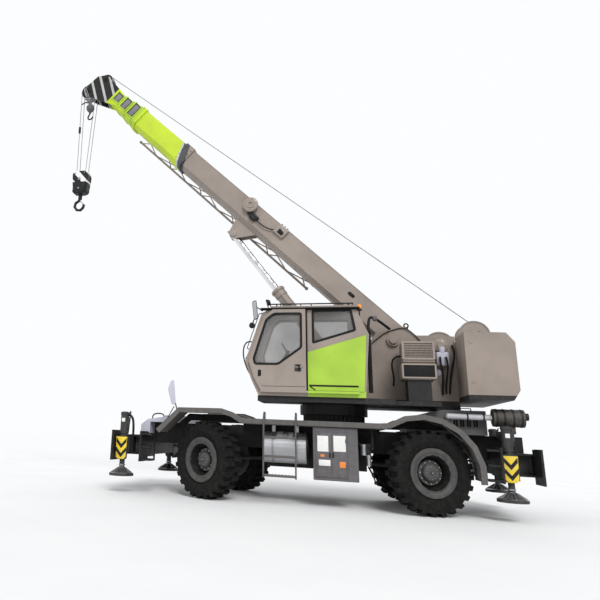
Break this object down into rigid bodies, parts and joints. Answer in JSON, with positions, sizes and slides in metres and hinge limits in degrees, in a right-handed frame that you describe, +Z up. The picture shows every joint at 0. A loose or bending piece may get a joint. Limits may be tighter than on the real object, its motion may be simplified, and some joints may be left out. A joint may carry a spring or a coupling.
{
  "type": "rough terrain crane",
  "caption": "Wheeled crane with steered axles, outriggers, a slewing upper with a side cab, a telescoping lattice-jibbed boom and a hook block.",
  "frame": {"origin": "under the middle of the parked machine's box, on the ground", "axes": "+X towards the front of the carrier, +Y to its left, the cab's side, +Z up"},
  "size_m": [9.7048, 3.213, 10.2756],
  "materials": {
    "body_grey": "gloss paint",
    "lime": "gloss paint",
    "dark": "satin paint",
    "frame_grey": "satin paint",
    "box_grey": "satin paint",
    "rubber": "matt rubber",
    "rim_grey": "satin paint",
    "silver": "brushed",
    "chrome": "polished",
    "glass": "clear",
    "lilac_grey": "satin paint",
    "seat_black": "matt"
  },
  "bodies": {
    "carrier": {"chassis_frame": "frame_grey", "deck_and_fenders": "frame_grey", "front_axle": "frame_grey", "rear_axle": "frame_grey", "engine_hood": "box_grey", "engine_block": "dark", "exhaust": "silver", "fuel_tank": "silver", "tool_box": "box_grey", "hydraulic_tank": "frame_grey", "ladder": "dark", "front_cover": "lilac_grey", "slewing_ring": "frame_grey"},
    "knuckle_front_left": {"knuckle_front_left": "frame_grey"},
    "wheel_front_left": {"rim_front_left": "rim_grey", "tyre_front_left": "rubber"},
    "beam_front_left": {"outrigger_beam_front_left": "frame_grey"},
    "jack_front_left": {"jack_foot_front_left": "dark"},
    "knuckle_front_right": {"knuckle_front_right": "frame_grey"},
    "wheel_front_right": {"rim_front_right": "rim_grey", "tyre_front_right": "rubber"},
    "beam_front_right": {"outrigger_beam_front_right": "frame_grey"},
    "jack_front_right": {"jack_foot_front_right": "dark"},
    "knuckle_rear_left": {"knuckle_rear_left": "frame_grey"},
    "wheel_rear_left": {"rim_rear_left": "rim_grey", "tyre_rear_left": "rubber"},
    "beam_rear_left": {"outrigger_beam_rear_left": "frame_grey"},
    "jack_rear_left": {"jack_foot_rear_left": "dark"},
    "knuckle_rear_right": {"knuckle_rear_right": "frame_grey"},
    "wheel_rear_right": {"rim_rear_right": "rim_grey", "tyre_rear_right": "rubber"},
    "beam_rear_right": {"outrigger_beam_rear_right": "frame_grey"},
    "jack_rear_right": {"jack_foot_rear_right": "dark"},
    "upper": {"turntable": "body_grey", "counterweight": "body_grey", "main_winch": "box_grey", "aux_winch": "box_grey", "side_glass": "glass", "right_glass": "glass", "cab_shell": "body_grey", "windscreen": "glass", "side_panel": "lime", "seat": "seat_black", "steering_console": "seat_black", "roof_guard": "dark", "oil_cooler": "box_grey"},
    "door": {"cab_door": "body_grey", "door_glass": "glass"},
    "boom": {"boom_base": "body_grey", "swing_jib": "body_grey"},
    "section_2": {"boom_section_2": "lime"},
    "section_3": {"boom_section_3": "lime"},
    "section_4": {"boom_head": "lime"},
    "hook": {"hook_block": "dark"},
    "barrel": {"luff_barrel": "body_grey"},
    "ram": {"luff_rod": "chrome"}
  },
  "joints": [
    {"name": "slew", "type": "hinge", "parent": "carrier", "child": "upper", "pos_m": [-1.4725, 0, 1.63], "axis": [0, 0, 1], "continuous": true},
    {"name": "steer_front_left", "type": "hinge", "parent": "carrier", "child": "knuckle_front_left", "pos_m": [0.7275, 0.86, 0.7], "axis": [0, 0, 1], "range_deg": [-4, 66]},
    {"name": "spin_front_left", "type": "hinge", "parent": "knuckle_front_left", "child": "wheel_front_left", "pos_m": [0.86399, 1.08715, 0.7], "axis": [0.515, 0.8572, 0], "continuous": true},
    {"name": "steer_front_right", "type": "hinge", "parent": "carrier", "child": "knuckle_front_right", "pos_m": [0.7275, -0.86, 0.7], "axis": [0, 0, 1], "range_deg": [-4, 66]},
    {"name": "spin_front_right", "type": "hinge", "parent": "knuckle_front_right", "child": "wheel_front_right", "pos_m": [0.59101, -1.08715, 0.7], "axis": [0.515, 0.8572, 0], "continuous": true},
    {"name": "steer_rear_left", "type": "hinge", "parent": "carrier", "child": "knuckle_rear_left", "pos_m": [-2.9725, 0.86, 0.7], "axis": [0, 0, 1], "range_deg": [-54, 16]},
    {"name": "spin_rear_left", "type": "hinge", "parent": "knuckle_rear_left", "child": "wheel_rear_left", "pos_m": [-3.05878, 1.11056, 0.7], "axis": [-0.3256, 0.9455, 0], "continuous": true},
    {"name": "steer_rear_right", "type": "hinge", "parent": "carrier", "child": "knuckle_rear_right", "pos_m": [-2.9725, -0.86, 0.7], "axis": [0, 0, 1], "range_deg": [-54, 16]},
    {"name": "spin_rear_right", "type": "hinge", "parent": "knuckle_rear_right", "child": "wheel_rear_right", "pos_m": [-2.88622, -1.11056, 0.7], "axis": [-0.3256, 0.9455, 0], "continuous": true},
    {"name": "beam_front_left", "type": "slide", "parent": "carrier", "child": "beam_front_left", "axis": [0, 1, 0], "range_m": [0, 1.4]},
    {"name": "jack_front_left", "type": "slide", "parent": "beam_front_left", "child": "jack_front_left", "axis": [0, 0, -1], "range_m": [0, 0.5]},
    {"name": "beam_front_right", "type": "slide", "parent": "carrier", "child": "beam_front_right", "axis": [0, -1, 0], "range_m": [0, 1.4]},
    {"name": "jack_front_right", "type": "slide", "parent": "beam_front_right", "child": "jack_front_right", "axis": [0, 0, -1], "range_m": [0, 0.5]},
    {"name": "beam_rear_left", "type": "slide", "parent": "carrier", "child": "beam_rear_left", "axis": [0, 1, 0], "range_m": [0, 1.4]},
    {"name": "jack_rear_left", "type": "slide", "parent": "beam_rear_left", "child": "jack_rear_left", "axis": [0, 0, -1], "range_m": [0, 0.5]},
    {"name": "beam_rear_right", "type": "slide", "parent": "carrier", "child": "beam_rear_right", "axis": [0, -1, 0], "range_m": [0, 1.4]},
    {"name": "jack_rear_right", "type": "slide", "parent": "beam_rear_right", "child": "jack_rear_right", "axis": [0, 0, -1], "range_m": [0, 0.5]},
    {"name": "door_slide", "type": "slide", "parent": "upper", "child": "door", "axis": [-1, 0, 0], "range_m": [0, 0.85]},
    {"name": "luff", "type": "hinge", "parent": "upper", "child": "boom", "pos_m": [-2.6625, 0, 3.12], "axis": [0, -1, 0], "range_deg": [-44, 34]},
    {"name": "barrel_turn", "type": "hinge", "parent": "upper", "child": "barrel", "pos_m": [-1.9225, 0, 2.16], "axis": [0, -1, 0], "range_deg": [-42.76, 33.27]},
    {"name": "ram_slide", "type": "slide", "parent": "barrel", "child": "ram", "axis": [0.5974, 0, 0.8019], "range_m": [-0.8586, 0.6657]},
    {"name": "telescope_2", "type": "slide", "parent": "boom", "child": "section_2", "axis": [0.7193, 0, 0.6947], "range_m": [0, 6.9]},
    {"name": "telescope_3", "type": "slide", "parent": "section_2", "child": "section_3", "axis": [0.7193, 0, 0.6947], "range_m": [0, 6.9]},
    {"name": "telescope_4", "type": "slide", "parent": "section_3", "child": "section_4", "axis": [0.7193, 0, 0.6947], "range_m": [0, 6.9]},
    {"name": "hook_swing", "type": "hinge", "parent": "section_4", "child": "hook", "pos_m": [4.64702, 0, 9.83118], "axis": [0, -1, 0], "range_deg": [-35, 45]}
  ],
  "couplings": [
    {"joint": "steer_front_right", "follows": "steer_front_left", "ratio": 1},
    {"joint": "steer_rear_right", "follows": "steer_rear_left", "ratio": 1},
    {"joint": "barrel_turn", "follows": "luff", "ratio": 0.949},
    {"joint": "ram_slide", "follows": "luff", "m_per_rad": 1.105},
    {"joint": "telescope_3", "follows": "telescope_2", "ratio": 1},
    {"joint": "telescope_4", "follows": "telescope_2", "ratio": 1},
    {"joint": "hook_swing", "follows": "luff", "ratio": -1}
  ]
}
